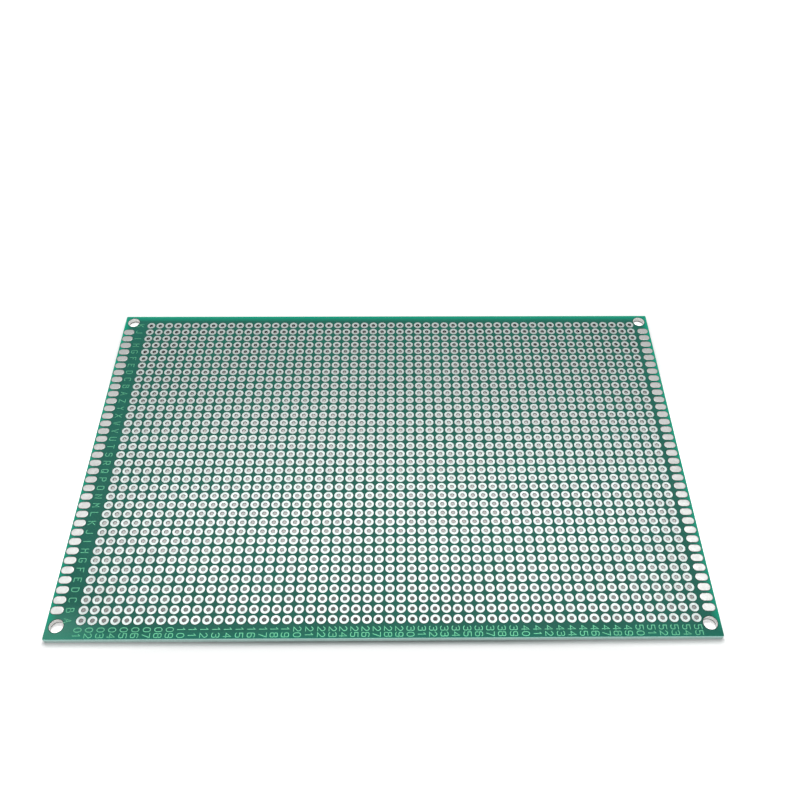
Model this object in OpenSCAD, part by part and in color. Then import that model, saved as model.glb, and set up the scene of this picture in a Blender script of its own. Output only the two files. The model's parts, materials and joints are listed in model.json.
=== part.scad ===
// Double-sided prototype circuit board: a coated glass-epoxy plate drilled on a square
// grid, a tinned plated-through hole in each drilling, solid tinned pads along both short
// edges and a bare fixing hole in each corner. Sizes are in millimetres.
//
// The origin is the centre of the plate's underside, +X runs along the long side from the
// first column to the last, +Y from the first row to the last, and +Z points up. The lower
// pads stand proud of the plate, below the origin.

/* [Board] */
// Length of the board, along X
board_length = 150; // [60:0.5:160]
// Depth of the board, along Y
board_depth = 99.6; // [40:0.2:110]
// Thickness of the board over the pads of both faces
board_thickness = 1.6; // [0.8:0.1:3.2]
// Radius of the board's four corners
corner_radius = 0.5; // [0.1:0.1:1.2]

/* [Hole grid] */
// Distance between neighbouring holes, along X and along Y
pitch = 2.54; // [2.4:0.02:3.2]
// Left edge of the board to the centres of the first column
first_column_inset = 7.6; // [7:0.1:12]
// Front edge of the board to the centres of the first row
first_row_inset = 4.5; // [4.2:0.1:8]
// Least distance from the centres of the last column to the right edge of the board
last_column_inset = 5.2; // [4.8:0.1:12]
// Least distance from the centres of the last row to the back edge of the board
last_row_inset = 3.6; // [3.4:0.1:8]

/* [Plated holes] */
// Diameter of the bore that takes a component lead
hole_bore = 1.0; // [0.7:0.05:1.2]
// Thickness of the plating on the wall of the drilling
plating_wall = 0.04; // [0.02:0.01:0.1]
// Diameter of the round pad on each face
pad_diameter = 2.1; // [1.7:0.05:2.3]
// Thickness of the tinned copper of every pad
pad_thickness = 0.04; // [0.02:0.01:0.1]

/* [Edge pads] */
// Length of an edge pad, along X
edge_pad_length = 2.8; // [1.8:0.1:3.2]
// Width of an edge pad, along Y
edge_pad_width = 1.8; // [1.5:0.1:2.1]
// Radius of an edge pad's corners
edge_pad_radius = 0.7; // [0.1:0.1:0.7]
// Left edge of the board to the middle of the left-hand edge pads
left_pad_inset = 1.7; // [1.7:0.1:2.2]
// Right edge of the board to the middle of the right-hand edge pads
right_pad_inset = 1.9; // [1.7:0.1:2.2]

/* [Fixing holes] */
// Diameter of a corner fixing hole
fixing_hole = 3.2; // [2.2:0.1:3.5]
// Short edge of the board to the middle of a fixing hole
fixing_inset = 2.4; // [2.2:0.1:3]
// Centres of the first and last row to the middle of a fixing hole
fixing_row_step = 1.27; // [1:0.01:1.8]

/* [Hidden] */
$fn = 24;

columns = floor((board_length - first_column_inset - last_column_inset) / pitch) + 1;
rows = floor((board_depth - first_row_inset - last_row_inset) / pitch) + 1;

// Position of the first hole and of the fixing holes.
first_x = first_column_inset - board_length / 2;
first_y = first_row_inset - board_depth / 2;
last_y = first_y + (rows - 1) * pitch;
fixing_x = board_length / 2 - fixing_inset;

// The coated plate fills the space between the pads of its two faces, from z = 0 up.
plate_top = board_thickness - 2 * pad_thickness;

// The drilling is as wide as the plating that lines it.
drill = hole_bore + 2 * plating_wall;

// The first and the last row have no edge pad beside them.
edge_pad_rows = [1 : rows - 2];
left_pad_x = left_pad_inset - board_length / 2;
right_pad_x = board_length / 2 - right_pad_inset;

ROW_NODES = [for (row = [1 : rows]) str("plated_holes_row_", row < 10 ? "0" : "", row)];

function column_x(column) = first_x + column * pitch;
function row_y(row) = first_y + row * pitch;

// A rectangle about the origin with round corners, made of true arcs.
module rounded_rectangle(length, width, radius) {
    square([length - 2 * radius, width], center = true);
    square([length, width - 2 * radius], center = true);
    for (x = [-1, 1], y = [-1, 1])
        translate([x * (length / 2 - radius), y * (width / 2 - radius)])
            circle(r = radius);
}

// Every drilling of the hole grid.
module grid_drillings() {
    for (row = [0 : rows - 1], column = [0 : columns - 1])
        translate([column_x(column), row_y(row)])
            circle(d = drill);
}

// The four corner holes, in line with each other along both edges.
module fixing_drillings() {
    for (x = [-fixing_x, fixing_x], y = [first_y - fixing_row_step, last_y + fixing_row_step])
        translate([x, y])
            circle(d = fixing_hole);
}

// The glass-epoxy plate with its coating on both faces.
module board() {
    color("seagreen")
        linear_extrude(plate_top)
            difference() {
                rounded_rectangle(board_length, board_depth, corner_radius);
                grid_drillings();
                fixing_drillings();
            }
}

// One barrel through the plate with a pad on each face, like a thin eyelet.
module plated_hole() {
    bore_radius = hole_bore / 2;
    drill_radius = drill / 2;
    pad_radius = pad_diameter / 2;
    rotate_extrude()
        polygon([
            [bore_radius, -pad_thickness],
            [pad_radius, -pad_thickness],
            [pad_radius, 0],
            [drill_radius, 0],
            [drill_radius, plate_top],
            [pad_radius, plate_top],
            [pad_radius, plate_top + pad_thickness],
            [bore_radius, plate_top + pad_thickness]
        ]);
}

// One row of the grid, a plated hole in every column.
module plated_holes_row(row) {
    color("gainsboro")
        for (column = [0 : columns - 1])
            translate([column_x(column), row_y(row), 0])
                plated_hole();
}

// The solid pads along one short edge, on the face that starts at the height z.
module edge_pads(x, z) {
    color("gainsboro")
        for (row = edge_pad_rows)
            translate([x, row_y(row), z])
                linear_extrude(pad_thickness)
                    rounded_rectangle(edge_pad_length, edge_pad_width, edge_pad_radius);
}

board();  // substrate
for (row = [0 : rows - 1])
    plated_holes_row(row);
edge_pads(left_pad_x, plate_top);  // edge_pads_top_left
edge_pads(right_pad_x, plate_top);  // edge_pads_top_right
edge_pads(left_pad_x, -pad_thickness);  // edge_pads_bottom_left
edge_pads(right_pad_x, -pad_thickness);  // edge_pads_bottom_right
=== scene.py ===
"""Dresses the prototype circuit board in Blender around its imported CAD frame.

The CAD solids give every place and size. This script replaces them with the visible
pieces: the bare laminate, the green coating of each face with its openings, the tinned
plated holes row by row, the edge pads and the index characters. A stage operator adds
the floor, the lamps, the world and the camera. Lengths are metres.
"""

import json
import math
import random

import bpy
import numpy as np
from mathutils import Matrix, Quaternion, Vector
from mathutils.geometry import delaunay_2d_cdt


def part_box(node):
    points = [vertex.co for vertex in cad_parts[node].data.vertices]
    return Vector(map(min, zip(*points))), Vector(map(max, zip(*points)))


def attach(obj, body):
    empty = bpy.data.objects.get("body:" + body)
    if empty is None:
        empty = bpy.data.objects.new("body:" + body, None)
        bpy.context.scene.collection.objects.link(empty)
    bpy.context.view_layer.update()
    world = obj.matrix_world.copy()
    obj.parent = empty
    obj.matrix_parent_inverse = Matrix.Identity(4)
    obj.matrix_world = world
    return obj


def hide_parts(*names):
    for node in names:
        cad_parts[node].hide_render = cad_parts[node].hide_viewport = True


bl_info = {
    "name": "Prototype Circuit Board",
    "version": (1, 0, 0),
    "blender": (4, 5, 0),
    "location": "3D View > Sidebar > Circuit Board",
    "description": "Builds the visible pieces of a prototype circuit board around its CAD frame",
    "category": "Object",
}

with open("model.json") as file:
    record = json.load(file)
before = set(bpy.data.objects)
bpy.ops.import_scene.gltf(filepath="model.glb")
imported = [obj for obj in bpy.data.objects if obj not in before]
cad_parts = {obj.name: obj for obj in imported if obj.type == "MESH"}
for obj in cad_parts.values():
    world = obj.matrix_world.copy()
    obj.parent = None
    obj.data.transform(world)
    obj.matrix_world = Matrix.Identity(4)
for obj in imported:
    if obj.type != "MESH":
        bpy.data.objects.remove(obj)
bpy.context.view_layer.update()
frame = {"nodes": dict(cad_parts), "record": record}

MM = 0.001
BODY = "root"
BOARD_NODE = "substrate"
ROW_NODES = sorted(name for name in frame["nodes"] if name.startswith("plated_holes_row_"))
EDGE_PAD_NODES = sorted(name for name in frame["nodes"] if name.startswith("edge_pads_"))
MOUNTS = {mount["name"]: mount for mount in frame["record"]["mounts"]}

COATED, TINNED, BARE = "coated_laminate", "tinned_copper", "bare_laminate"


# ---------------------------------------------------------------- places from the frame

def read_layout():
    """The places and sizes that the CAD nodes and mounts hold."""
    first_low, first_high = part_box(ROW_NODES[0])
    second_low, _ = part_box(ROW_NODES[1])
    plate_low, plate_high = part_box(BOARD_NODE)
    pitch = second_low.y - first_low.y
    pad = first_high.y - first_low.y
    columns = round((first_high.x - first_low.x - pad) / pitch) + 1
    fixing = MOUNTS["fixing_holes"]
    centre, spans = fixing["pos_m"], fixing["dims"]
    half_x, half_y = spans["spacing_x_mm"] * MM / 2, spans["spacing_y_mm"] * MM / 2
    return {
        "low": plate_low,
        "high": plate_high,
        "bottom": first_low.z,
        "top": first_high.z,
        "pad_radius": pad / 2,
        "bore_radius": MOUNTS["lead_hole"]["dims"]["r_mm"] * MM,
        "columns": [first_low.x + pad / 2 + pitch * column for column in range(columns)],
        "rows": [first_low.y + pad / 2 + pitch * row for row in range(len(ROW_NODES))],
        "fixing_radius": spans["hole_r_mm"] * MM,
        "fixing": [(centre[0] + sx * half_x, centre[1] + sy * half_y)
                   for sx in (-1, 1) for sy in (-1, 1)],
    }


LAYOUT = read_layout()


def edge_pad_places(node):
    """Centres, length, width and z range of the pads in one edge-pad node."""
    low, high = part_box(node)
    rows = LAYOUT["rows"][1:-1]
    width = (high.y - low.y) - (rows[-1] - rows[0])
    middle = (low.x + high.x) / 2
    return [(middle, row) for row in rows], high.x - low.x, width, low.z, high.z


# ---------------------------------------------------------------- settings

class BoardSizes(bpy.types.PropertyGroup):
    """Sizes of the visible pieces that the CAD solids leave open."""

    board_corner: bpy.props.FloatProperty(
        name="Board corner", description="Corner radius of the board's outline",
        default=0.3 * MM, min=0, unit="LENGTH", precision=6)
    coating_thickness: bpy.props.FloatProperty(
        name="Coating thickness", description="Thickness of the green coating on each face",
        default=0.025 * MM, min=0, unit="LENGTH", precision=6)
    opening_clearance: bpy.props.FloatProperty(
        name="Opening clearance", description="Gap between a copper pad and the coating round it",
        default=0.14 * MM, min=0, unit="LENGTH", precision=6)
    tin_reach: bpy.props.FloatProperty(
        name="Tin reach", description="How far the tin spreads past the rim of a copper pad",
        default=0.05 * MM, min=0, unit="LENGTH", precision=6)
    edge_break: bpy.props.FloatProperty(
        name="Edge break", description="Broken corner along the cut edges of the board",
        default=0.04 * MM, min=0, unit="LENGTH", precision=6)
    plating_wall: bpy.props.FloatProperty(
        name="Plating wall", description="Thickness of the metal on the wall of a plated hole",
        default=0.04 * MM, min=0, unit="LENGTH", precision=6)
    pad_tilt: bpy.props.FloatProperty(
        name="Pad tilt", description="Usual slope of the tin on a pad, which levels unevenly",
        default=0.004, min=0, unit="ROTATION", precision=4)
    edge_pad_corner: bpy.props.FloatProperty(
        name="Edge pad corner", description="Corner radius of an edge pad",
        default=0.85 * MM, min=0, unit="LENGTH", precision=6)
    mouth_round: bpy.props.FloatProperty(
        name="Mouth rounding", description="Tin that rounds the mouth of a plated hole",
        default=0.06 * MM, min=0, unit="LENGTH", precision=6)
    character_height: bpy.props.FloatProperty(
        name="Character height", description="Height of an index character",
        default=1.82 * MM, min=0, unit="LENGTH", precision=6)
    character_width: bpy.props.FloatProperty(
        name="Character width", description="Width of an index character",
        default=1.15 * MM, min=0, unit="LENGTH", precision=6)
    character_stroke: bpy.props.FloatProperty(
        name="Character stroke", description="Width of the lines of an index character",
        default=0.19 * MM, min=0, unit="LENGTH", precision=6)
    character_rise: bpy.props.FloatProperty(
        name="Character rise", description="Height of an index character over the coating",
        default=0.015 * MM, min=0, unit="LENGTH", precision=6)
    letter_distance: bpy.props.FloatProperty(
        name="Letter distance", description="From the first column of holes to the row letters",
        default=2.98 * MM, min=0, unit="LENGTH", precision=6)
    tens_distance: bpy.props.FloatProperty(
        name="Tens distance", description="From the first row of holes to the tens digits",
        default=2.25 * MM, min=0, unit="LENGTH", precision=6)
    units_distance: bpy.props.FloatProperty(
        name="Units distance", description="From the first row of holes to the units digits",
        default=3.64 * MM, min=0, unit="LENGTH", precision=6)


class BoardFinish(bpy.types.PropertyGroup):
    """Colours of the board's finishes."""

    coating_light: bpy.props.FloatVectorProperty(
        name="Coating, light", description="Lighter patches of the green coating",
        subtype="COLOR", size=3, min=0, max=1, default=(0.01, 0.131, 0.093))
    coating_dark: bpy.props.FloatVectorProperty(
        name="Coating, dark", description="Darker patches of the green coating",
        subtype="COLOR", size=3, min=0, max=1, default=(0.008, 0.102, 0.072))
    # Painted sheen: a lighter coating colour that stands in for a lamp's reflection at the front
    # left corner.
    coating_painted_sheen: bpy.props.FloatVectorProperty(
        name="Coating, lit", description="Green coating at the brighter front left corner",
        subtype="COLOR", size=3, min=0, max=1, default=(0.045, 0.225, 0.16))
    # Painted glow: a lighter green that stands in for light entering the coating at the cut edge.
    coating_painted_glow: bpy.props.FloatVectorProperty(
        name="Coating, rim", description="Green coating where light enters at the cut edge",
        subtype="COLOR", size=3, min=0, max=1, default=(0.0, 0.37, 0.225))
    tin: bpy.props.FloatVectorProperty(
        name="Tin", description="Colour of the tinned copper",
        subtype="COLOR", size=3, min=0, max=1, default=(0.403, 0.455, 0.442))
    edge_tin: bpy.props.FloatVectorProperty(
        name="Edge pad tin", description="Colour of the tin on the edge pads",
        subtype="COLOR", size=3, min=0, max=1, default=(0.395, 0.4, 0.392))
    # Painted highlight: the front edge pads are coloured brighter, standing in for a lamp's
    # reflection.
    edge_tin_painted_highlight: bpy.props.FloatProperty(
        name="Edge pad lift", description="How much brighter the front edge pads are than the rest",
        default=1.27, min=1)
    barrel: bpy.props.FloatVectorProperty(
        name="Barrel tin", description="Colour of the tin on the wall of a plated hole",
        subtype="COLOR", size=3, min=0, max=1, default=(0.6, 0.59, 0.58))
    laminate_edge: bpy.props.FloatVectorProperty(
        name="Cut laminate", description="Colour of the cut edge of the laminate",
        subtype="COLOR", size=3, min=0, max=1, default=(0.51, 0.7, 0.655))
    # Painted highlight: a pale band along the upper rim of the cut edge, standing in for light on
    # the arris.
    laminate_painted_rim: bpy.props.FloatVectorProperty(
        name="Cut laminate, rim", description="Colour along the upper rim of the cut edge",
        subtype="COLOR", size=3, min=0, max=1, default=(0.4, 0.83, 0.735))
    laminate_drilled: bpy.props.FloatVectorProperty(
        name="Drilled laminate", description="Colour of the wall of a fixing hole",
        subtype="COLOR", size=3, min=0, max=1, default=(0.98, 0.98, 0.96))
    # Painted shade: the bare laminate round each pad is given a very dark colour that stands in for
    # shade.
    laminate_face_painted_shade: bpy.props.FloatVectorProperty(
        name="Bare laminate face", description="Colour of the laminate round a pad",
        subtype="COLOR", size=3, min=0, max=1, default=(0.008, 0.03, 0.022))
    characters: bpy.props.FloatVectorProperty(
        name="Index characters", description="Colour of the coated copper characters",
        subtype="COLOR", size=3, min=0, max=1, default=(0.105, 0.4, 0.23))


class StageSettings(bpy.types.PropertyGroup):
    """Floor, lamps and camera round the board."""

    floor_size: bpy.props.FloatProperty(
        name="Floor size", description="Length of each side of the floor",
        default=6.0, min=1, unit="LENGTH")
    focal_length: bpy.props.FloatProperty(
        name="Focal length", description="Focal length of the lens",
        default=41.1, min=10, unit="CAMERA")
    camera_elevation: bpy.props.FloatProperty(
        name="Camera elevation", description="Angle of the view above the horizon",
        default=math.radians(50.2), unit="ROTATION")
    camera_azimuth: bpy.props.FloatProperty(
        name="Camera azimuth", description="Turn of the view about the vertical",
        default=math.radians(-0.89), unit="ROTATION")
    camera_roll: bpy.props.FloatProperty(
        name="Camera roll", description="Turn of the camera about its own line of sight",
        default=math.radians(0.52), unit="ROTATION")
    sideways_shift: bpy.props.FloatProperty(
        name="Sideways shift", description="Shift of the picture, as a share of its width",
        default=-0.0097)
    camera_distance: bpy.props.FloatProperty(
        name="Camera distance", description="From the camera to the point that it aims at",
        default=0.2442, min=0.05, unit="LENGTH")
    aim_right: bpy.props.FloatProperty(
        name="Aim right", description="The aimed-at point, to the right of the board's middle",
        default=5.73 * MM, unit="LENGTH", precision=5)
    aim_back: bpy.props.FloatProperty(
        name="Aim back", description="The aimed-at point, behind the board's middle",
        default=18.2 * MM, unit="LENGTH", precision=5)
    world_light: bpy.props.FloatProperty(
        name="World light", description="Strength of the even light from all round",
        default=0.25, min=0)
    softbox_place: bpy.props.FloatVectorProperty(
        name="Softbox place", description="Middle of the wide softbox above and behind the board",
        subtype="XYZ", unit="LENGTH", size=3, default=(0.0, 0.25, 0.55))
    softbox_size: bpy.props.FloatVectorProperty(
        name="Softbox size", description="Width and depth of the softbox",
        unit="LENGTH", size=2, default=(0.57, 0.28))
    softbox_watts: bpy.props.FloatProperty(
        name="Softbox power", description="Power of the softbox",
        default=1.14, min=0, unit="POWER")
    fill_size: bpy.props.FloatVectorProperty(
        name="Fill size", description="Width and depth of each fill lamp",
        unit="LENGTH", size=2, default=(1.0, 0.3))
    back_fill_place: bpy.props.FloatVectorProperty(
        name="Back fill place", description="Middle of the fill lamp behind the board",
        subtype="XYZ", unit="LENGTH", size=3, default=(0.0, 0.34, 0.5))
    back_fill_watts: bpy.props.FloatProperty(
        name="Back fill power", description="Power of the fill lamp behind the board",
        default=3.0, min=0, unit="POWER")
    front_fill_place: bpy.props.FloatVectorProperty(
        name="Front fill place", description="Middle of the low fill lamp in front of the board",
        subtype="XYZ", unit="LENGTH", size=3, default=(0.0, -0.6, 0.22))
    front_fill_watts: bpy.props.FloatProperty(
        name="Front fill power", description="Power of the fill lamp in front of the board",
        default=1.1, min=0, unit="POWER")


# ---------------------------------------------------------------- meshes

def circle(x, y, radius, count):
    """Points of a regular polygon about a circle, counter-clockwise."""
    step = 2 * math.pi / count
    return [(x + radius * math.cos(step * i), y + radius * math.sin(step * i))
            for i in range(count)]


def rounded_rectangle(x, y, length, width, radius, corner_count):
    """Points of a rectangle with round corners, counter-clockwise."""
    points = []
    for quarter, (side_x, side_y) in enumerate(((1, 1), (-1, 1), (-1, -1), (1, -1))):
        centre_x = x + side_x * (length / 2 - radius)
        centre_y = y + side_y * (width / 2 - radius)
        for i in range(corner_count + 1):
            angle = math.pi / 2 * (quarter + i / corner_count)
            points.append((centre_x + radius * math.cos(angle),
                           centre_y + radius * math.sin(angle)))
    return points


def make_piece(name, points, faces, materials, material_index=None, smooth_angle=None):
    """Links a mesh object made of the points and faces."""
    mesh = bpy.data.meshes.new(name)
    mesh.from_pydata([tuple(p) for p in points], [], faces)
    for material in materials:
        mesh.materials.append(material)
    if material_index is not None:
        mesh.polygons.foreach_set("material_index", np.asarray(material_index, dtype=np.int32))
    if smooth_angle is not None:
        mesh.polygons.foreach_set("use_smooth", [True] * len(mesh.polygons))
        mesh.set_sharp_from_angle(angle=smooth_angle)
    mesh.update()
    if mesh.validate():
        raise RuntimeError(f"the mesh of {name} had faults")
    piece = bpy.data.objects.new(name, mesh)
    bpy.context.scene.collection.objects.link(piece)
    return piece


def finish_piece(piece, slot, *nodes):
    """Attaches the piece to the body that it rides on and hides the CAD nodes that it stands for.
    The slot is not used.
    """
    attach(piece, BODY)
    if nodes:
        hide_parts(*nodes)


def fill_region(outline, openings):
    """Points of the loops, the triangles between them, and the edges of the loops.

    The outline and the openings are convex, so a triangle with all its corners on one
    opening lies inside that opening, and is left out.
    """
    points, edges, owners = [], [], []
    for number, loop in enumerate((outline, *openings)):
        first, count = len(points), len(loop)
        points.extend(Vector((x / MM, y / MM)) for x, y in loop)
        edges.extend((first + i, first + (i + 1) % count) for i in range(count))
        owners.extend([number] * count)
    filled, _, triangles, *_ = delaunay_2d_cdt(points, edges, [], 1, 1e-6, False)
    if len(filled) != len(points):
        raise RuntimeError("two openings of a plate meet")
    triangles = [t for t in triangles
                 if owners[t[0]] == 0 or len({owners[corner] for corner in t}) > 1]
    return points, triangles, edges


# The kinds of face of a drilled plate, which are also the numbers of their materials.
FLAT, CUT, DRILLED = 0, 1, 2


def drilled_plate(outline, openings, low, high, full_outline=None, edge_break=0.0):
    """A flat plate with openings through it, as points, faces and the kind of each face.

    The outer wall bulges to the full outline, where one is given, with broken corners.
    """
    flat, triangles, edges = fill_region(outline, openings)
    count, corners = len(flat), len(outline)
    points = [(p.x * MM, p.y * MM, z) for z in (low, high) for p in flat]
    faces = [tuple(i + count for i in t) for t in triangles]
    faces += [tuple(reversed(t)) for t in triangles]
    levels = [0, count]
    if full_outline:
        levels = [0, 2 * count, 2 * count + corners, count]
        points += [(x, y, z) for z in (low + edge_break, high - edge_break)
                   for x, y in full_outline]
    cut = [(a + under, b + under, b + over, a + over)
           for under, over in zip(levels, levels[1:]) for a, b in edges[:corners]]
    drilled = [(b, a, a + count, b + count) for a, b in edges[corners:]]
    kinds = [FLAT] * len(faces) + [CUT] * len(cut) + [DRILLED] * len(drilled)
    return points, faces + cut + drilled, kinds


def revolved_ring(profile, count):
    """A closed profile of (radius, z) turned about Z, as points and quads."""
    angles = [2 * math.pi * i / count for i in range(count)]
    points = [(r * math.cos(a), r * math.sin(a), z) for a in angles for r, z in profile]
    size = len(profile)
    quads = []
    for i in range(count):
        here, there = i * size, (i + 1) % count * size
        for j in range(size):
            k = (j + 1) % size
            quads.append((here + j, there + j, there + k, here + k))
    return np.array(points), np.array(quads)


def stacked_rings(rings):
    """A closed solid whose section is given by rings of equal length, from low to high."""
    count = len(rings[0])
    points = [p for ring in rings for p in ring]
    faces = [tuple(range(count - 1, -1, -1))]
    for level in range(len(rings) - 1):
        first = level * count
        faces += [(first + i, first + (i + 1) % count,
                   first + count + (i + 1) % count, first + count + i) for i in range(count)]
    faces.append(tuple(range((len(rings) - 1) * count, len(rings) * count)))
    return points, faces


# ---------------------------------------------------------------- materials

def new_material(name):
    """A material with its node tree and its Principled shader."""
    material = bpy.data.materials.new(name)
    material.use_nodes = True
    tree = material.node_tree
    shader = tree.nodes["Principled BSDF"]
    return material, tree, shader


def add_node(tree, kind, settings=None, **inputs):
    """Adds a node. Each input is a value, or another node's output socket."""
    node = tree.nodes.new(kind)
    for key, value in (settings or {}).items():
        setattr(node, key, value)
    for key, value in inputs.items():
        socket = node.inputs[int(key[1:])] if key[0] == "i" and key[1:].isdigit() \
            else node.inputs[key.replace("_", " ")]
        if isinstance(value, bpy.types.NodeSocket):
            tree.links.new(value, socket)
        else:
            socket.default_value = value
    return node


def place(tree):
    """The socket that gives a point's place on the board, in metres."""
    return add_node(tree, "ShaderNodeTexCoord").outputs["Object"]


def scaled(colour, share):
    """A colour made darker or brighter by a share."""
    return tuple(channel * share for channel in colour)


def coordinate(tree, axis):
    """The X, Y or Z of a point's place on the board, in metres."""
    return add_node(tree, "ShaderNodeSeparateXYZ", i0=place(tree)).outputs[axis]


def math_node(tree, operation, first, second=0.0):
    """The result of a Math node."""
    return add_node(tree, "ShaderNodeMath", {"operation": operation}, i0=first, i1=second).outputs[0]


def noise(tree, scale, detail=2.0, roughness=0.5):
    """A noise value that varies over 1 / scale metres."""
    node = add_node(tree, "ShaderNodeTexNoise", Vector=place(tree), Scale=scale, Detail=detail,
                    Roughness=roughness)
    return node.outputs["Fac"]


def spread(tree, value, low, high, from_low=0.3, from_high=0.7):
    """Maps a texture value to the range from low to high."""
    node = add_node(tree, "ShaderNodeMapRange", i0=value, i1=from_low, i2=from_high, i3=low, i4=high)
    return node.outputs[0]


def mix_colours(tree, factor, first, second):
    """A colour between two, by the factor."""
    node = add_node(tree, "ShaderNodeMix", {"data_type": "RGBA"}, i0=factor)
    for socket, colour in ((node.inputs[6], first), (node.inputs[7], second)):
        if isinstance(colour, bpy.types.NodeSocket):
            tree.links.new(colour, socket)
        else:
            socket.default_value = (*colour, 1.0)
    return node.outputs[2]


def weave(tree, pitch):
    """A value from 0 to 1 that follows the plain weave of glass cloth under the coating."""
    turns = 2 * math.pi / pitch
    wave_x = math_node(tree, "SINE", math_node(tree, "MULTIPLY", coordinate(tree, "X"), turns))
    wave_y = math_node(tree, "SINE", math_node(tree, "MULTIPLY", coordinate(tree, "Y"), turns))
    return spread(tree, math_node(tree, "MULTIPLY", wave_x, wave_y), 0.0, 1.0, -1.0, 1.0)


def bump(tree, shader, height, distance, strength=1.0):
    """Gives the shader a bump of a height value."""
    node = add_node(tree, "ShaderNodeBump", Height=height, Distance=distance, Strength=strength)
    tree.links.new(node.outputs["Normal"], shader.inputs["Normal"])


def rim_distance(tree):
    """How far a point lies inside the board's outline, in metres."""
    low, high = LAYOUT["low"], LAYOUT["high"]
    depths = []
    for axis, least, most in (("X", low.x, high.x), ("Y", low.y, high.y)):
        from_middle = math_node(tree, "SUBTRACT", coordinate(tree, axis), (least + most) / 2)
        depths.append(math_node(tree, "SUBTRACT", (most - least) / 2,
                                math_node(tree, "ABSOLUTE", from_middle)))
    return math_node(tree, "MINIMUM", *depths)


def coating_material(finish):
    """Glossy green coating over woven glass laminate.

    It carries a painted glow where light enters at the rim, save the front one, and a painted
    sheen at the front left corner.
    """
    material, tree, shader = new_material("green_coating")
    cloth = weave(tree, pitch=0.9 * MM)
    cloth_share = 0.3
    patches = spread(tree, noise(tree, scale=90.0, detail=3.0), 0.0, 1.0)
    blend = math_node(tree, "ADD", math_node(tree, "MULTIPLY", cloth, cloth_share),
                      math_node(tree, "MULTIPLY", patches, 1 - cloth_share))
    inner = mix_colours(tree, blend, tuple(finish.coating_dark), tuple(finish.coating_light))
    to_right, to_back = coordinate(tree, "X"), coordinate(tree, "Y")
    left, front = LAYOUT["low"].x, LAYOUT["low"].y
    # Painted sheen: near the front left corner the coating is mixed towards a lighter colour that
    # stands in for a lamp's reflection.
    near_left = spread(tree, to_right, 1.0, 0.0, left + 3 * MM, left + 15 * MM)
    near_front = spread(tree, to_back, 1.0, 0.0, front + 3 * MM, front + 9 * MM)
    corner = math_node(tree, "MULTIPLY", near_left, near_front)
    lit = mix_colours(tree, corner, inner, tuple(finish.coating_painted_sheen))
    # Painted glow: near the rim, save at the front, the coating turns a lighter green for light that
    # enters at the cut edge.
    near_rim = spread(tree, rim_distance(tree), 0.72, 0.0, 0.3 * MM, 2.0 * MM)
    off_front = spread(tree, to_back, 0.2, 1.0, front + 1 * MM, front + 5 * MM)
    glow = math_node(tree, "MULTIPLY", near_rim, off_front)
    colour = mix_colours(tree, glow, lit, tuple(finish.coating_painted_glow))
    tree.links.new(colour, shader.inputs["Base Color"])
    roughness = spread(tree, noise(tree, scale=400.0), 0.22, 0.34)
    tree.links.new(roughness, shader.inputs["Roughness"])
    shader.inputs["Specular IOR Level"].default_value = 0.1
    bump(tree, shader, cloth, distance=0.004 * MM, strength=0.5)
    return material


def tin_material(name, colour, painted_front_lift=1.0):
    """Bright tin that levelled unevenly over the copper, with a painted highlight that may make it
    brighter at the front.
    """
    material, tree, shader = new_material(name)
    grain = noise(tree, scale=900.0, detail=3.0)
    shade = spread(tree, grain, 0.0, 1.0)
    pale = tuple(colour)
    dull = scaled(pale, 0.9)
    even = mix_colours(tree, shade, dull, pale)
    # Painted highlight: towards the front the tin takes a brighter copy of its colour.
    highlighted = mix_colours(tree, shade, scaled(dull, painted_front_lift), scaled(pale, painted_front_lift))
    highlight_share = spread(tree, coordinate(tree, "Y"), 1.0, 0.0, -30 * MM, -5 * MM)
    tree.links.new(mix_colours(tree, highlight_share, even, highlighted), shader.inputs["Base Color"])
    tree.links.new(spread(tree, grain, 0.36, 0.26), shader.inputs["Roughness"])
    shader.inputs["Metallic"].default_value = 1.0
    bump(tree, shader, noise(tree, scale=1500.0), distance=0.01 * MM, strength=0.4)
    return material


def barrel_material(finish):
    """Smooth tin on the wall of a plated hole, with painted shade under its mouth and at its foot.
    """
    material, tree, shader = new_material("barrel_tin")
    pale = tuple(finish.barrel)
    dull, dark = scaled(pale, 0.92), scaled(pale, 0.4)
    shade = spread(tree, noise(tree, scale=900.0, detail=3.0), 0.0, 1.0)
    height = coordinate(tree, "Z")
    bottom, top = LAYOUT["bottom"], LAYOUT["top"]
    # Painted shade: the wall is darkened just under the mouth and near the foot.
    under_mouth = spread(tree, height, 0.0, 1.0, top - 0.42 * MM, top - 0.15 * MM)
    at_foot = spread(tree, height, 1.0, 0.0, bottom + 0.1 * MM, bottom + 0.4 * MM)
    painted_shade = math_node(tree, "MAXIMUM", under_mouth, at_foot)
    unshaded = mix_colours(tree, shade, dull, pale)
    tree.links.new(mix_colours(tree, painted_shade, unshaded, dark), shader.inputs["Base Color"])
    shader.inputs["Roughness"].default_value = 0.2
    shader.inputs["Metallic"].default_value = 1.0
    return material


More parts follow.
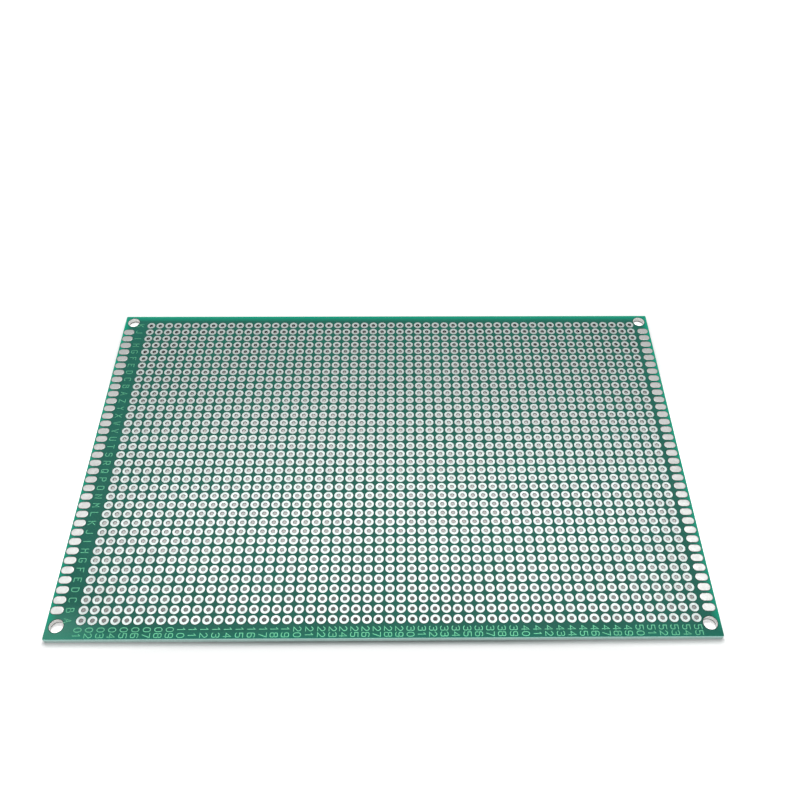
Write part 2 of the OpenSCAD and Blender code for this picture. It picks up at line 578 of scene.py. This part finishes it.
def cut_material(name, colour, painted_rim_highlight, ply_shade, foot_shade, foot_start, foot_end):
    """Matt cut laminate with its plies of glass cloth, a painted highlight along its upper rim and
    painted shade at its foot.

    The painted shade at the foot is as dark as its shade up to its start, and no darker than the
    rest at its end.
    """
    material, tree, shader = new_material(name)
    height = coordinate(tree, "Z")
    ply_thickness, ply_share = 0.2 * MM, 0.35
    turns = 2 * math.pi / ply_thickness
    plies = math_node(tree, "SINE", math_node(tree, "MULTIPLY", height, turns))
    fibres = noise(tree, scale=1800.0, detail=3.0, roughness=0.7)
    blend = math_node(tree, "ADD", spread(tree, plies, 0.0, ply_share, -1.0, 1.0),
                      spread(tree, fibres, 0.0, 1 - ply_share))
    pale = tuple(colour)
    low, high = LAYOUT["low"].z, LAYOUT["high"].z
    # Painted highlight along the upper rim, and painted shade at the foot where the edge meets the
    # floor.
    upper = spread(tree, height, 0.0, 1.0, high - 0.45 * MM, high - 0.15 * MM)
    lower = spread(tree, height, foot_shade, 0.0, low + foot_start, low + foot_end)
    body = mix_colours(tree, blend, scaled(pale, ply_shade), pale)
    rimmed = mix_colours(tree, upper, body, tuple(painted_rim_highlight))
    footed = mix_colours(tree, lower, rimmed, scaled(pale, 0.2))
    tree.links.new(footed, shader.inputs["Base Color"])
    shader.inputs["Roughness"].default_value = 0.75
    shader.inputs["Specular IOR Level"].default_value = 0.3
    bump(tree, shader, blend, distance=0.03 * MM, strength=0.6)
    return material


def bare_face_material(finish):
    """Laminate surface in the narrow gap between a pad and the coating; its very dark colour is
    painted shade.
    """
    material, tree, shader = new_material("bare_laminate_face")
    dark = tuple(finish.laminate_face_painted_shade)
    fibres = spread(tree, noise(tree, scale=1200.0), 0.0, 1.0)
    colour = mix_colours(tree, fibres, dark, scaled(dark, 1.5))
    tree.links.new(colour, shader.inputs["Base Color"])
    shader.inputs["Roughness"].default_value = 0.6
    shader.inputs["Specular IOR Level"].default_value = 0.2
    return material


def character_material(finish):
    """Copper characters that show light green through the coating."""
    material, tree, shader = new_material("coated_copper")
    pale = tuple(finish.characters)
    patches = spread(tree, noise(tree, scale=700.0), 0.0, 1.0)
    colour = mix_colours(tree, patches, scaled(pale, 0.8), pale)
    tree.links.new(colour, shader.inputs["Base Color"])
    shader.inputs["Roughness"].default_value = 0.3
    shader.inputs["Metallic"].default_value = 0.9
    shader.inputs["Specular IOR Level"].default_value = 0.15
    return material


# ---------------------------------------------------------------- pieces

# How many sides each round shape has, and how many steps each round corner.
FIXING_SIDES = 32
TOP_OPENING_SIDES = 16
BOTTOM_OPENING_SIDES = 12
DRILLING_SIDES = 12
PLATED_HOLE_SIDES = 16
CORNER_STEPS = 4
EDGE_PAD_CORNER_STEPS = 5

# Edges that turn by less than this are shaded smooth.
PLATED_HOLE_SMOOTH = math.radians(24)
EDGE_PAD_SMOOTH = math.radians(50)

# The rings of an edge pad from its foot to its flat crown. Each gives how far it is drawn
# in, in millimetres, and its height as a share of the pad's.
EDGE_PAD_RINGS = ((0.0, 0.0), (0.0, 0.6), (0.04, 0.88), (0.12, 1.0), (0.2, 1.0))


def board_outline(corner, inset=0.0):
    """The board's outline with its small round corners, drawn in by the inset."""
    low, high = LAYOUT["low"], LAYOUT["high"]
    return rounded_rectangle((low.x + high.x) / 2, (low.y + high.y) / 2,
                             high.x - low.x - 2 * inset, high.y - low.y - 2 * inset,
                             corner - inset, CORNER_STEPS)


def grid_openings(radius, count):
    """A round opening at every hole of the grid."""
    return [circle(x, y, radius, count) for y in LAYOUT["rows"] for x in LAYOUT["columns"]]


def fixing_openings(radius):
    """The openings at the four fixing holes."""
    return [circle(x, y, radius, FIXING_SIDES) for x, y in LAYOUT["fixing"]]


class BOARD_OT_laminate(bpy.types.Operator):
    """Build the bare laminate, drilled for the grid and the fixing holes"""

    bl_idname = "circuit_board.laminate"
    bl_label = "Laminate"

    def execute(self, context):
        sizes, finish = context.scene.board_sizes, context.scene.board_finish
        low = LAYOUT["low"].z + sizes.coating_thickness
        high = LAYOUT["high"].z - sizes.coating_thickness
        openings = grid_openings(LAYOUT["bore_radius"] + sizes.plating_wall, DRILLING_SIDES)
        openings += fixing_openings(LAYOUT["fixing_radius"])
        corner, edge_break = sizes.board_corner, sizes.edge_break
        points, faces, kinds = drilled_plate(board_outline(corner, edge_break), openings, low, high,
                                             board_outline(corner), edge_break)
        # Both walls get painted shade at the foot; the cut edge also gets a painted highlight along
        # its upper rim.
        edge = cut_material("cut_laminate", finish.laminate_edge, finish.laminate_painted_rim,
                            ply_shade=0.8, foot_shade=0.62, foot_start=0.02 * MM,
                            foot_end=0.12 * MM)
        wall = cut_material("drilled_laminate", finish.laminate_drilled, finish.laminate_drilled,
                            ply_shade=0.94, foot_shade=0.9, foot_start=0.12 * MM,
                            foot_end=0.4 * MM)
        materials = [bare_face_material(finish), edge, wall]
        piece = make_piece("laminate", points, faces, materials, kinds)
        finish_piece(piece, BARE, BOARD_NODE)
        return {"FINISHED"}


class BOARD_OT_coating(bpy.types.Operator):
    """Build the green coating of both faces, open at every pad and fixing hole"""

    bl_idname = "circuit_board.coating"
    bl_label = "Coating"

    def execute(self, context):
        sizes, finish = context.scene.board_sizes, context.scene.board_finish
        material = coating_material(finish)
        thickness = sizes.coating_thickness
        gap = sizes.opening_clearance
        outline = board_outline(sizes.board_corner, sizes.edge_break)
        levels = {
            "top": (LAYOUT["high"].z - thickness, LAYOUT["high"].z, TOP_OPENING_SIDES),
            "bottom": (LAYOUT["low"].z, LAYOUT["low"].z + thickness, BOTTOM_OPENING_SIDES),
        }
        for face, (low, high, sides) in levels.items():
            openings = grid_openings(LAYOUT["pad_radius"] + gap, sides)
            openings += fixing_openings(LAYOUT["fixing_radius"] + gap)
            for node in EDGE_PAD_NODES:
                if face in node:
                    centres, length, width, _, _ = edge_pad_places(node)
                    openings += [rounded_rectangle(x, y, length + 2 * gap, width + 2 * gap,
                                                   sizes.edge_pad_corner + gap, CORNER_STEPS)
                                 for x, y in centres]
            points, faces, _ = drilled_plate(outline, openings, low, high)
            piece = make_piece(f"coating_{face}", points, faces, [material])
            finish_piece(piece, COATED, BOARD_NODE)
        return {"FINISHED"}


def plated_hole_profile(sizes):
    """The section of a plated hole, from the foot of its bore round both pads to its mouth."""
    bore, pad = LAYOUT["bore_radius"], LAYOUT["pad_radius"] + sizes.tin_reach
    bottom, top = LAYOUT["bottom"], LAYOUT["top"]
    low, high = LAYOUT["low"].z, LAYOUT["high"].z
    wall = bore + sizes.plating_wall
    thickness, mouth = sizes.coating_thickness, sizes.mouth_round
    foot_flare = 1.6 * mouth
    shoulder = high + 0.6 * (top - high)
    rim_break = 0.02 * MM
    sag = 0.008 * MM
    return [
        (bore, bottom + mouth),
        (bore + foot_flare, bottom),
        (pad, (low + bottom) / 2),
        (wall, low + thickness),
        (wall, high - thickness),
        (pad, shoulder),
        (pad - rim_break, top),
        (bore + mouth, top - sag),
        (bore, top - mouth),
    ]


class BOARD_OT_plated_holes(bpy.types.Operator):
    """Build the tinned plated holes, one piece for each row"""

    bl_idname = "circuit_board.plated_holes"
    bl_label = "Plated Holes"

    def execute(self, context):
        sizes, finish = context.scene.board_sizes, context.scene.board_finish
        materials = [tin_material("pad_tin", finish.tin), barrel_material(finish)]
        profile = plated_hole_profile(sizes)
        ring, quads = revolved_ring(profile, PLATED_HOLE_SIDES)
        # The quad that closes the profile is the wall of the barrel, with the second material.
        in_barrel = [int((i + 1) % len(profile) == 0) for i in range(len(quads))]
        upper = ring[:, 2] > LAYOUT["top"] / 2
        dice = random.Random(7)
        for node, y in zip(ROW_NODES, LAYOUT["rows"]):
            points, faces, finishes = [], [], []
            for number, x in enumerate(LAYOUT["columns"]):
                tilt_x, tilt_y = dice.gauss(0, sizes.pad_tilt), dice.gauss(0, sizes.pad_tilt)
                moved = ring.copy()
                moved[upper, 2] -= np.abs(ring[upper, 0] * tilt_x + ring[upper, 1] * tilt_y)
                moved[:, :2] += (x, y)
                points.extend(moved.tolist())
                faces.extend((quads + number * len(ring)).tolist())
                finishes.extend(in_barrel)
            piece = make_piece(node.replace("plated", "tinned"), points, faces, materials,
                               finishes, smooth_angle=PLATED_HOLE_SMOOTH)
            finish_piece(piece, TINNED, node)
        return {"FINISHED"}


class BOARD_OT_edge_pads(bpy.types.Operator):
    """Build the solid tinned pads along both short edges of both faces"""

    bl_idname = "circuit_board.edge_pads"
    bl_label = "Edge Pads"

    def execute(self, context):
        sizes, finish = context.scene.board_sizes, context.scene.board_finish
        material = tin_material("edge_pad_tin", finish.edge_tin, finish.edge_tin_painted_highlight)
        thickness = sizes.coating_thickness
        for node in EDGE_PAD_NODES:
            centres, length, width, low, high = edge_pad_places(node)
            upper = high > LAYOUT["high"].z
            base, crown = (low - thickness, high) if upper else (high + thickness, low)
            points, faces = [], []
            for x, y in centres:
                rings = []
                for drawn_in, rise in EDGE_PAD_RINGS:
                    inset = drawn_in * MM - sizes.tin_reach
                    outline = rounded_rectangle(x, y, length - 2 * inset, width - 2 * inset,
                                                sizes.edge_pad_corner - inset,
                                                EDGE_PAD_CORNER_STEPS)
                    z = base + (crown - base) * rise
                    rings.append([(px, py, z) for px, py in outline])
                if not upper:
                    rings.reverse()
                ring_points, ring_faces = stacked_rings(rings)
                first = len(points)
                points += ring_points
                faces += [tuple(first + i for i in face) for face in ring_faces]
            piece = make_piece(node.replace("edge", "tinned_edge"), points, faces, [material],
                               smooth_angle=EDGE_PAD_SMOOTH)
            finish_piece(piece, TINNED, node)
        return {"FINISHED"}


# Each glyph is a list of pen strokes on a field six columns wide and nine rows high. A
# stroke is a run of points, each written as its column and its row. A stroke that ends
# where it starts is closed.
GLYPHS = {
    "0": ["20 40 62 67 49 29 07 02 20"],
    "1": ["17 39 30"],
    "2": ["07 29 49 67 65 00 60"],
    "3": ["08 19 59 68 66 55 25", "55 64 61 50 10 01"],
    "4": ["50 59 03 63"],
    "5": ["69 09 05 55 64 61 50 10 01"],
    "6": ["68 59 19 08 01 10 50 61 64 55 15 04"],
    "7": ["09 69 20"],
    "8": ["15 06 08 19 59 68 66 55 15", "15 04 01 10 50 61 64 55"],
    "9": ["01 10 50 61 68 59 19 08 05 14 54 65"],
    "A": ["00 39 60", "13 53"],
    "B": ["05 00 50 61 64 55 05", "05 09 49 58 56 45"],
    "C": ["68 59 19 08 01 10 50 61"],
    "D": ["00 40 62 67 49 09 00"],
    "E": ["60 00 09 69", "05 45"],
    "F": ["00 09 69", "05 45"],
    "G": ["68 59 19 08 01 10 50 61 64 34"],
    "H": ["00 09", "60 69", "05 65"],
    "I": ["30 39"],
    "J": ["01 10 40 51 59"],
    "K": ["00 09", "69 03", "25 60"],
    "L": ["09 00 60"],
    "M": ["00 09 34 69 60"],
    "N": ["00 09 60 69"],
    "O": ["10 50 61 68 59 19 08 01 10"],
    "P": ["00 09 59 68 65 54 04"],
    "Q": ["10 50 61 68 59 19 08 01 10", "33 60"],
    "R": ["00 09 59 68 65 54 04", "34 60"],
    "S": ["68 59 19 08 06 15 55 64 61 50 10 01"],
    "T": ["30 39", "09 69"],
    "U": ["09 01 10 50 61 69"],
    "V": ["09 30 69"],
    "W": ["09 20 36 40 69"],
    "X": ["00 69", "09 60"],
    "Y": ["09 35 69", "35 30"],
    "Z": ["09 69 00 60"],
}
GLYPH_COLUMNS, GLYPH_ROWS = 6, 9

# A stroke keeps the corners that turn by more than this. The others are cut off by this
# many columns, or by this share of a short leg.
SHARP_TURN = math.radians(65)
CORNER_CUT = 0.8
SHORT_LEG_CUT = 0.4

# Half the width of a stroke at its foot and at its crown, as a share of its whole width.
STROKE_FOOT, STROKE_CROWN = 0.5, 0.36

# How far the column numbers stand to the right of their columns, at some of the columns.
NUMBER_DRIFT_MM = ((1, -0.28), (8, -0.25), (11, -0.34), (17, -0.02), (19, -0.2), (22.5, 0.2),
                   (24, -0.1), (26, -0.26), (33, -0.62), (38, -0.6), (41, -0.33), (46, -0.28),
                   (49, -0.5), (53, -0.3), (55, -0.1))


def soften(stroke):
    """Cuts the shallow corners of a pen stroke once more, so that its bends look round."""
    closed = stroke[0] == stroke[-1]
    line = stroke[:-1] if closed else stroke
    bends = []
    for i, here in enumerate(line):
        if not closed and i in (0, len(line) - 1):
            bends.append(here)
            continue
        back, onward = line[i - 1] - here, line[(i + 1) % len(line)] - here
        if math.pi - back.angle(onward) > SHARP_TURN:
            bends.append(here)
            continue
        for leg in (back, onward):
            cut = min(CORNER_CUT, leg.length * SHORT_LEG_CUT)
            bends.append(here + leg.normalized() * cut)
    return bends + bends[:1] if closed else bends


def ribbon(path, width, low, high):
    """A raised line with sloping sides along the path, as points and faces."""
    closed = path[0] == path[-1]
    line = [Vector(p) for p in (path[:-1] if closed else path)]
    count = len(line)
    points = []
    for i, here in enumerate(line):
        before = line[i - 1] if closed or i else None
        after = line[(i + 1) % count] if closed or i < count - 1 else None
        to_here = (here - before).normalized() if before else (after - here).normalized()
        from_here = (after - here).normalized() if after else to_here
        side = Vector((-to_here.y - from_here.y, to_here.x + from_here.x)).normalized()
        reach = 1 / max(0.5, side.dot(Vector((-to_here.y, to_here.x))))
        run_out = Vector((0, 0))
        if not closed and i == 0:
            run_out = -from_here * width / 2
        if not closed and i == count - 1:
            run_out = to_here * width / 2
        for half, z in ((STROKE_FOOT, low), (STROKE_CROWN, high), (-STROKE_CROWN, high),
                        (-STROKE_FOOT, low)):
            at = here + run_out + side * reach * half * width
            points.append((at.x, at.y, z))
    faces = []
    for i in range(count if closed else count - 1):
        a, b = i * 4, (i + 1) % count * 4
        faces += [(a + j, a + (j + 1) % 4, b + (j + 1) % 4, b + j) for j in range(4)]
    if not closed:
        last = (count - 1) * 4
        faces += [(3, 2, 1, 0), (last, last + 1, last + 2, last + 3)]
    return points, faces


def index_marks(sizes):
    """Every index character with the middle of its place: row letters and column numbers."""
    alphabet = "ABCDEFGHIJKLMNOPQRSTUVWXYZ"
    columns, rows = LAYOUT["columns"], LAYOUT["rows"]
    for number, y in enumerate(rows):
        yield alphabet[number % len(alphabet)], columns[0] - sizes.letter_distance, y
    for number, x in enumerate(columns):
        drift = np.interp(number + 1, *zip(*NUMBER_DRIFT_MM))
        tens, units = f"{number + 1:02d}"
        yield tens, x + drift * MM, rows[0] - sizes.tens_distance
        yield units, x + drift * MM, rows[0] - sizes.units_distance


class BOARD_OT_index_characters(bpy.types.Operator):
    """Build the raised row letters and column numbers of the top face"""

    bl_idname = "circuit_board.index_characters"
    bl_label = "Index Characters"

    def execute(self, context):
        sizes = context.scene.board_sizes
        low = LAYOUT["high"].z - sizes.coating_thickness / 2
        high = LAYOUT["high"].z + sizes.character_rise
        height = sizes.character_height - sizes.character_stroke
        width = sizes.character_width - sizes.character_stroke
        points, faces = [], []
        for mark, x, y in index_marks(sizes):
            for stroke in GLYPHS[mark]:
                bends = soften([Vector((int(p[0]), int(p[1]))) for p in stroke.split()])
                path = [(x + (bend.y / GLYPH_ROWS - 0.5) * height,
                         y - (bend.x / GLYPH_COLUMNS - 0.5) * width) for bend in bends]
                line_points, line_faces = ribbon(path, sizes.character_stroke, low, high)
                first = len(points)
                points += line_points
                faces += [tuple(first + i for i in face) for face in line_faces]
        piece = make_piece("index_characters", points, faces,
                           [character_material(context.scene.board_finish)])
        finish_piece(piece, COATED)
        return {"FINISHED"}


# ---------------------------------------------------------------- stage

WHITE = (1.0, 1.0, 1.0, 1.0)


def seen_directly(tree):
    """Is 1 where the camera sees the surface itself, through glass or in a reflection."""
    path = add_node(tree, "ShaderNodeLightPath")
    direct = math_node(tree, "MAXIMUM", path.outputs["Is Camera Ray"],
                       path.outputs["Is Transmission Ray"])
    return math_node(tree, "MAXIMUM", direct, path.outputs["Is Glossy Ray"])


def floor_material():
    """Pale floor that keeps the board's shadow and turns plain white away from it.

    A painted pool of light makes it bright too under the fixing holes and the middle rows,
    where lamplight drops straight down the holes, further to the front at the sides. A
    painted contact shadow darkens it right at the board's outline.
    """
    material = bpy.data.materials.new("pale_floor")
    material.use_nodes = True
    tree = material.node_tree
    tree.nodes.clear()
    aside = math_node(tree, "ABSOLUTE", coordinate(tree, "X"))
    lean = math_node(tree, "MULTIPLY", aside, 0.18)
    off_middle = math_node(tree, "ABSOLUTE", math_node(tree, "ADD", coordinate(tree, "Y"), lean))
    beyond = spread(tree, rim_distance(tree), 0.9, 0.0, -18 * MM, -0.6 * MM)
    # Painted pool of light: glow on the floor under the middle rows, seen through the plated holes.
    painted_light_beneath = spread(tree, off_middle, 0.76, 0.0, 18 * MM, 46 * MM)
    # Folded onto its back right quarter, the floor needs one spot for all four fixing holes.
    # The front two spots lie a little in front of their holes.
    folded = add_node(tree, "ShaderNodeVectorMath", {"operation": "ABSOLUTE"}, i0=place(tree))
    to_fixing = add_node(tree, "ShaderNodeVectorMath", {"operation": "DISTANCE"},
                         i0=folded.outputs[0], i1=(*LAYOUT["fixing"][-1], 0.0))
    radius = LAYOUT["fixing_radius"]
    # Painted pool of light: glow on the floor inside each fixing hole.
    spots = spread(tree, to_fixing.outputs["Value"], 0.6, 0.0, radius - 0.1 * MM, radius)
    glow = math_node(tree, "MAXIMUM", math_node(tree, "MAXIMUM", beyond, painted_light_beneath), spots)
    # Painted contact shadow: the floor's colour darkens within half a millimetre of the outline.
    to_outline = math_node(tree, "ABSOLUTE", rim_distance(tree))
    pale = spread(tree, to_outline, 0.52, 0.92, 0.2 * MM, 0.5 * MM)
    lit = add_node(tree, "ShaderNodeBsdfDiffuse", Color=pale)
    bright = add_node(tree, "ShaderNodeEmission", Color=WHITE, Strength=glow)
    both = add_node(tree, "ShaderNodeAddShader", i0=lit.outputs[0], i1=bright.outputs[0])
    choice = add_node(tree, "ShaderNodeMixShader", i0=seen_directly(tree), i1=lit.outputs[0],
                      i2=both.outputs[0])
    add_node(tree, "ShaderNodeOutputMaterial", Surface=choice.outputs[0])
    return material


def add_lamp(name, place_at, size, watts):
    """A soft rectangular lamp that points at the board's middle and isn't seen itself."""
    data = bpy.data.lights.new(name, "AREA")
    data.shape = "RECTANGLE"
    data.size, data.size_y = size
    data.energy = watts
    lamp = bpy.data.objects.new(name, data)
    lamp.location = place_at
    lamp.visible_camera = False
    lamp.rotation_euler = (-Vector(place_at)).to_track_quat("-Z", "Y").to_euler()
    bpy.context.scene.collection.objects.link(lamp)
    return lamp


def light_world(strength):
    """White behind the board and in its reflections, and even light of the given strength."""
    world = bpy.data.worlds.new("studio")
    bpy.context.scene.world = world
    world.use_nodes = True
    tree = world.node_tree
    tree.nodes.clear()
    even = add_node(tree, "ShaderNodeBackground", Color=WHITE, Strength=strength)
    white = add_node(tree, "ShaderNodeBackground", Color=WHITE, Strength=1.0)
    choice = add_node(tree, "ShaderNodeMixShader", i0=seen_directly(tree), i1=even.outputs[0],
                      i2=white.outputs[0])
    add_node(tree, "ShaderNodeOutputWorld", Surface=choice.outputs[0])


def place_camera(stage):
    """The camera, aimed from its distance, elevation and azimuth."""
    low, high = LAYOUT["low"], LAYOUT["high"]
    aim = Vector(((low.x + high.x) / 2 + stage.aim_right, (low.y + high.y) / 2 + stage.aim_back,
                  LAYOUT["top"]))
    across = math.cos(stage.camera_elevation)
    back = Vector((math.sin(stage.camera_azimuth) * across, -math.cos(stage.camera_azimuth) * across,
                   math.sin(stage.camera_elevation)))
    data = bpy.data.cameras.new("camera")
    data.lens = stage.focal_length
    data.shift_x = stage.sideways_shift
    data.clip_start, data.clip_end = 0.01, 50.0
    camera = bpy.data.objects.new("camera", data)
    camera.location = aim + back * stage.camera_distance
    level = back.to_track_quat("Z", "Y")
    camera.rotation_euler = (level @ Quaternion((0, 0, 1), stage.camera_roll)).to_euler()
    bpy.context.scene.collection.objects.link(camera)
    bpy.context.scene.camera = camera


class BOARD_OT_stage(bpy.types.Operator):
    """Add the floor, the lamps, the world and the camera"""

    bl_idname = "circuit_board.stage"
    bl_label = "Stage"

    def execute(self, context):
        stage = context.scene.board_stage
        half, bottom = stage.floor_size / 2, LAYOUT["bottom"]
        corners = [(-half, -half, bottom), (half, -half, bottom), (half, half, bottom),
                   (-half, half, bottom)]
        floor = make_piece("floor", corners, [(0, 1, 2, 3)], [floor_material()])
        add_lamp("softbox", stage.softbox_place, stage.softbox_size, stage.softbox_watts)
        for name, place_at, watts in (
                ("back_fill", stage.back_fill_place, stage.back_fill_watts),
                ("front_fill", stage.front_fill_place, stage.front_fill_watts)):
            add_lamp(name, place_at, stage.fill_size, watts).visible_glossy = False
        light_world(stage.world_light)
        place_camera(stage)
        context.scene.view_settings.view_transform = "Standard"
        return {"FINISHED"}


class BOARD_PT_panel(bpy.types.Panel):
    """Lists the settings and the pieces of the circuit board"""

    bl_idname = "BOARD_PT_panel"
    bl_label = "Circuit Board"
    bl_space_type = "VIEW_3D"
    bl_region_type = "UI"
    bl_category = "Circuit Board"

    def draw(self, context):
        scene = context.scene
        for group in (scene.board_sizes, scene.board_finish, scene.board_stage):
            column = self.layout.column(align=True)
            for name in type(group).__annotations__:
                column.prop(group, name)
        for operator in OPERATORS:
            self.layout.operator(operator.bl_idname)


GROUPS = {"board_sizes": BoardSizes, "board_finish": BoardFinish, "board_stage": StageSettings}
OPERATORS = (BOARD_OT_stage, BOARD_OT_laminate, BOARD_OT_coating, BOARD_OT_plated_holes,
             BOARD_OT_edge_pads, BOARD_OT_index_characters)


def register():
    """Adds the settings, the operators and the panel to Blender."""
    for name, group in GROUPS.items():
        bpy.utils.register_class(group)
        setattr(bpy.types.Scene, name, bpy.props.PointerProperty(type=group))
    for item in (*OPERATORS, BOARD_PT_panel):
        bpy.utils.register_class(item)


def unregister():
    """Takes the panel, the operators and the settings out again."""
    for item in reversed((*OPERATORS, BOARD_PT_panel)):
        bpy.utils.unregister_class(item)
    for name, group in reversed(GROUPS.items()):
        delattr(bpy.types.Scene, name)
        bpy.utils.unregister_class(group)


def main():
    """Builds the stage and the board."""
    register()
    bpy.ops.circuit_board.stage()
    bpy.ops.circuit_board.laminate()
    bpy.ops.circuit_board.coating()
    bpy.ops.circuit_board.plated_holes()
    bpy.ops.circuit_board.edge_pads()
    bpy.ops.circuit_board.index_characters()


if __name__ == "__main__":
    main()
